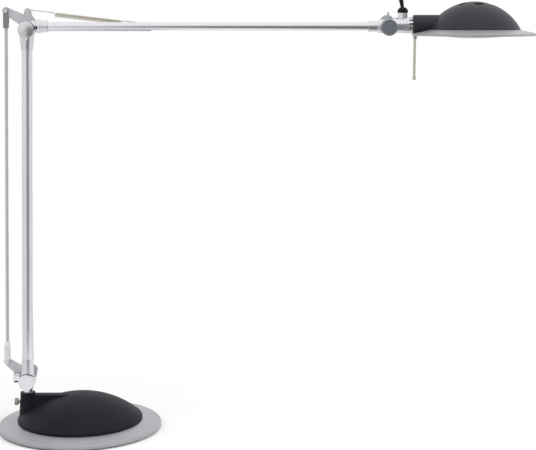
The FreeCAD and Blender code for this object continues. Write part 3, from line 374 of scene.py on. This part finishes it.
glasses = {
    "frostedGlass": {
        "colour": (0.90, 0.93, 0.92), "colour2": (0.94, 0.96, 0.95),
        "grain": 0.0004, "roughness": (0.28, 0.42), "bend": 1.47,
    },
    "bulbGlass": {
        "colour": (0.97, 0.97, 0.97), "colour2": (1, 1, 1),
        "grain": 0.002, "roughness": (0.0, 0.03), "bend": 1.47,
    },
}
materials.update({name: makeGlass(name, look) for name, look in glasses.items()})

# which nodes wear which finish

wornBy = {
    "silverLacquer": ["base_plate", "head_flange"],
    "texturedBlack": ["base_cover"],
    "castSilver": [
        "swivel_post", "clamp_block", "tie_rod_lower_fork", "lower_arm_foot_fitting",
        "lower_arm_elbow_fitting", "upper_arm_elbow_fitting", "upper_arm_head_fitting",
        "head_bracket", "gland_stub", "ribbed_clip", "glass_ring", "handle_bracket", "shoulder_cap",
    ],
    "satinTube": ["lower_tube"],
    "satinTubeLevel": ["upper_tube"],
    "platedPlate": ["shoulder_plate", "elbow_plate", "head_stop_plate", "tie_rod"],
    "brightSteel": [
        "cover_screws", "shoulder_axle", "shoulder_nut", "shoulder_spring_pin", "tie_rod_pins",
        "lower_spring_anchor", "elbow_axle", "elbow_nut", "elbow_spring_pin", "upper_spring_anchor",
        "head_axle", "head_nut", "head_joint_ring",
    ],
    "satinCap": ["elbow_cap"],
    "blackSteel": ["lower_grub_screws", "upper_grub_screws", "clamp_block_screw", "post_bush"],
    "blackPlastic": ["terminal_block", "mains_inlet_gland", "cord_port", "gland_nut"],
    "slatePlastic": ["head_joint_cap", "transformer"],
    "anthracite": ["head_housing"],
    "screwNickel": ["clamp_screw"],
    "nickel": ["handle_rod", "handle_tip"],
    "bowlMetal": ["reflector_bowl"],
    "whiteCeramic": ["lamp_holder"],
    "padRubber": ["non_slip_pad"],
    "ballastIron": ["ballast_ring"],
    "greyMetal": ["tie_rod_upper_fork"],
    "frostedGlass": ["diffuser_glass"],
    "bulbGlass": ["halogen_bulb"],
    "springWire": ["lower_spring", "upper_spring"],
    "cordJacket": ["head_cord"],
}


def dress(piece, mat):
    piece.data.materials.clear()
    piece.data.materials.append(mat)
    for face in piece.data.polygons:
        face.material_index = 0


for name, members in wornBy.items():
    for member in members:
        dress(nodes[member], materials[name])
dress(headCord, materials["cordJacket"])
print("lamp: materials on", sum(len(m) for m in wornBy.values()), "nodes")

# the two balance springs, each wound from its hooks and coil; a turned one has its straight ends on the
# other side of its line

springs = {
    "lowerSpring": {"node": "lower_spring", "near": (-0.0677, 0.078), "far": (-0.064569, 0.304324),
                    "bodies": ("swivel", "lower_arm"), "turned": True},
    "upperSpring": {"node": "upper_spring", "near": (-0.058931, 0.559751), "far": (0.104269, 0.540851),
                    "bodies": ("elbow_plate", "upper_arm"), "turned": False},
}
wire = {
    "radius": 0.00063, "coilRadius": 0.00245, "turns": 50, "coilEnd": 0.041, "coilLength": 0.088,
    "plane": 0.0148, "sides": 12, "perTurn": 16, "lead": 0.0026, "hookSteps": 12, "cutTurn": 0.25,
    "bendStart": 0.003, "bendPast": 0.006,
}


def hookArc(centre, radius, start, steps):
    # half a circle, clockwise from the start angle
    angles = [start - math.pi * step / steps for step in range(steps + 1)]
    return [Vector((centre + radius * math.cos(a), 0, radius * math.sin(a))) for a in angles]


def springLine(length, look):
    # along +X: hook, lead, coil, lead, hook
    r = look["coilRadius"]
    tail = 2 * look["radius"]
    start, turns = length - look["coilEnd"] - look["coilLength"], look["turns"]
    line = [Vector((tail, 0, -r)), Vector((tail / 2, 0, -r))]
    line += hookArc(0, r, -math.pi / 2, look["hookSteps"])
    line.append(Vector((start / 2, 0, r)))
    line.append(Vector((start - look["lead"], 0, r)))
    firstStep = int(look["cutTurn"] * look["perTurn"])
    lastStep = int((turns - look["cutTurn"]) * look["perTurn"])
    for step in range(firstStep, lastStep + 1):
        turn = step / look["perTurn"]
        angle = 2 * math.pi * turn
        x = start + look["coilLength"] * turn / turns
        line.append(Vector((x, r * math.sin(angle), r * math.cos(angle))))
    end = line[-1].x + look["lead"]
    line.append(Vector((end, 0, r)))
    line.append(Vector(((end + length) / 2, 0, r)))
    line += hookArc(length, r, math.pi / 2, look["hookSteps"])
    line += [Vector((length - tail / 2, 0, -r)), Vector((length - tail, 0, -r))]
    return line


def addSpring(name, look):
    near, far = look["near"], look["far"]
    way = Vector((far[0] - near[0], 0, far[1] - near[1]))
    length = way.length
    way.normalize()
    aside = Vector((0, 1, 0))
    up = way.cross(aside)
    if look["turned"]:
        aside, up = -aside, -up
    origin = Vector((near[0], wire["plane"], near[1]))
    places = [origin + way * p.x + aside * p.y + up * p.z for p in springLine(length, wire)]
    piece = link(name, tubeMesh(name, places, wire["radius"], wire["sides"]))
    dress(piece, materials["springWire"])
    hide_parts(look["node"])
    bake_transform(piece)


for name, look in springs.items():
    addSpring(name, look)
print("lamp: springs wound")

# floor, world and lamps; the screen is the dim sheet that metal reflects, its sides and top in degrees
# from the lamp's front and from level

studio = {
    "floorSize": 80.0,
    "floorGrey": 0.9,
    "whiteFrom": 0.13,
    "whiteTo": 0.32,
    "mirrorReach": (0.3, 0.5),
    "screenSides": ((-9, -4), (46, 52)),
    "screenTop": (12, 24),
    "screenGlow": (0.16, 0.26),
    "screenRise": (-0.5, 0.0),
    "roomGlow": (0.78, 1.0),
    "roomRise": (-0.1, 0.1),
    "fill": 0.6,
}
lamps = {
    "softLeft": {"place": (-1.9, -1.0, 1.3), "aim": (0.1, 0, 0.35), "size": 1.2, "power": 8},
    "softRight": {"place": (2.4, -0.8, 1.5), "aim": (0.3, 0, 0.4), "size": 1.2, "power": 26},
    "softTop": {"place": (0.2, -0.2, 2.4), "aim": (0.2, 0, 0.3), "size": 1.8, "power": 22},
}


def product(tree, first, second):
    times = tree.nodes.new("ShaderNodeMath")
    times.operation = "MULTIPLY"
    tree.links.new(first, times.inputs[0])
    tree.links.new(second, times.inputs[1])
    return times.outputs[0]


def addFloor(look):
    # pale near the base, where the shadow falls, and white farther out
    half = look["floorSize"] / 2
    mesh = bpy.data.meshes.new("studioFloor")
    corners = [(-half, -half, 0), (half, -half, 0), (half, half, 0), (-half, half, 0)]
    mesh.from_pydata(corners, [], [(0, 1, 2, 3)])
    floor = link("studioFloor", mesh)
    mat = bpy.data.materials.new("paleFloor")
    mat.use_nodes = True
    tree = mat.node_tree
    tree.nodes.clear()
    out = tree.nodes.new("ShaderNodeOutputMaterial")
    matt = tree.nodes.new("ShaderNodeBsdfDiffuse")
    matt.inputs["Color"].default_value = (look["floorGrey"],) * 3 + (1,)
    white = tree.nodes.new("ShaderNodeEmission")
    white.inputs["Strength"].default_value = 1.0
    place = tree.nodes.new("ShaderNodeNewGeometry")
    away = tree.nodes.new("ShaderNodeVectorMath")
    away.operation = "LENGTH"
    tree.links.new(place.outputs["Position"], away.inputs[0])
    fade = spread(tree, away.outputs["Value"], 0.0, 1.0, look["whiteFrom"], look["whiteTo"])
    ray = tree.nodes.new("ShaderNodeLightPath")
    mix = tree.nodes.new("ShaderNodeMixShader")
    tree.links.new(product(tree, fade, ray.outputs["Is Camera Ray"]), mix.inputs[0])
    tree.links.new(matt.outputs[0], mix.inputs[1])
    tree.links.new(white.outputs[0], mix.inputs[2])
    clear = tree.nodes.new("ShaderNodeBsdfTransparent")
    beyond = spread(tree, away.outputs["Value"], 0.0, 1.0, *look["mirrorReach"])
    opened = tree.nodes.new("ShaderNodeMixShader")
    tree.links.new(product(tree, beyond, ray.outputs["Is Glossy Ray"]), opened.inputs[0])
    tree.links.new(mix.outputs[0], opened.inputs[1])
    tree.links.new(clear.outputs[0], opened.inputs[2])
    tree.links.new(opened.outputs[0], out.inputs[0])
    floor.data.materials.append(mat)


def setWorld(look):
    # white for the camera; metal also sees one dim screen to the front and right
    world = bpy.data.worlds.new("softRoom")
    bpy.context.scene.world = world
    world.use_nodes = True
    world.cycles.sampling_method = "NONE"
    tree = world.node_tree
    tree.nodes.clear()
    out = tree.nodes.new("ShaderNodeOutputWorld")
    coords = tree.nodes.new("ShaderNodeTexCoord")
    axes = tree.nodes.new("ShaderNodeSeparateXYZ")
    tree.links.new(coords.outputs["Generated"], axes.inputs[0])
    back = tree.nodes.new("ShaderNodeMath")
    back.operation = "MULTIPLY"
    back.inputs[1].default_value = -1
    tree.links.new(axes.outputs["Y"], back.inputs[0])
    turn = tree.nodes.new("ShaderNodeMath")
    turn.operation = "ARCTAN2"
    tree.links.new(axes.outputs["X"], turn.inputs[0])
    tree.links.new(back.outputs[0], turn.inputs[1])
    left, right = [[math.radians(a) for a in side] for side in look["screenSides"]]
    low, high = [math.sin(math.radians(a)) for a in look["screenTop"]]
    pastLeft = spread(tree, turn.outputs[0], 0, 1, *left)
    beforeRight = spread(tree, turn.outputs[0], 1, 0, *right)
    under = spread(tree, axes.outputs["Z"], 1, 0, low, high)
    screen = product(tree, product(tree, pastLeft, beforeRight), under)
    dim = spread(tree, axes.outputs["Z"], *look["screenGlow"], *look["screenRise"])
    bright = spread(tree, axes.outputs["Z"], *look["roomGlow"], *look["roomRise"])
    share = tree.nodes.new("ShaderNodeMix")
    tree.links.new(screen, share.inputs[0])
    tree.links.new(bright, share.inputs[2])
    tree.links.new(dim, share.inputs[3])
    ray = tree.nodes.new("ShaderNodeLightPath")
    glow, fill, white = [tree.nodes.new("ShaderNodeBackground") for part in range(3)]
    for part in (glow, fill, white):
        part.inputs["Color"].default_value = (1, 1, 1, 1)
    fill.inputs["Strength"].default_value = look["fill"]
    white.inputs["Strength"].default_value = 1.0
    tree.links.new(share.outputs[0], glow.inputs["Strength"])
    shiny = tree.nodes.new("ShaderNodeMixShader")
    tree.links.new(ray.outputs["Is Glossy Ray"], shiny.inputs[0])
    tree.links.new(fill.outputs[0], shiny.inputs[1])
    tree.links.new(glow.outputs[0], shiny.inputs[2])
    direct = tree.nodes.new("ShaderNodeMath")
    direct.operation = "MAXIMUM"
    tree.links.new(ray.outputs["Is Camera Ray"], direct.inputs[0])
    tree.links.new(ray.outputs["Is Transmission Ray"], direct.inputs[1])
    seen = tree.nodes.new("ShaderNodeMixShader")
    tree.links.new(direct.outputs[0], seen.inputs[0])
    tree.links.new(shiny.outputs[0], seen.inputs[1])
    tree.links.new(white.outputs[0], seen.inputs[2])
    tree.links.new(seen.outputs[0], out.inputs[0])


def addLamp(name, look):
    data = bpy.data.lights.new(name, "AREA")
    data.shape = "SQUARE"
    data.size = look["size"]
    data.energy = look["power"]
    lamp = bpy.data.objects.new(name, data)
    lamp.location = look["place"]
    way = Vector(look["aim"]) - Vector(look["place"])
    lamp.rotation_euler = way.to_track_quat("-Z", "Y").to_euler()
    lamp.visible_glossy = False
    bpy.context.scene.collection.objects.link(lamp)


addFloor(studio)
setWorld(studio)
for name, look in lamps.items():
    addLamp(name, look)
bpy.context.scene.view_settings.view_transform = "Standard"
print("lamp: studio lit")
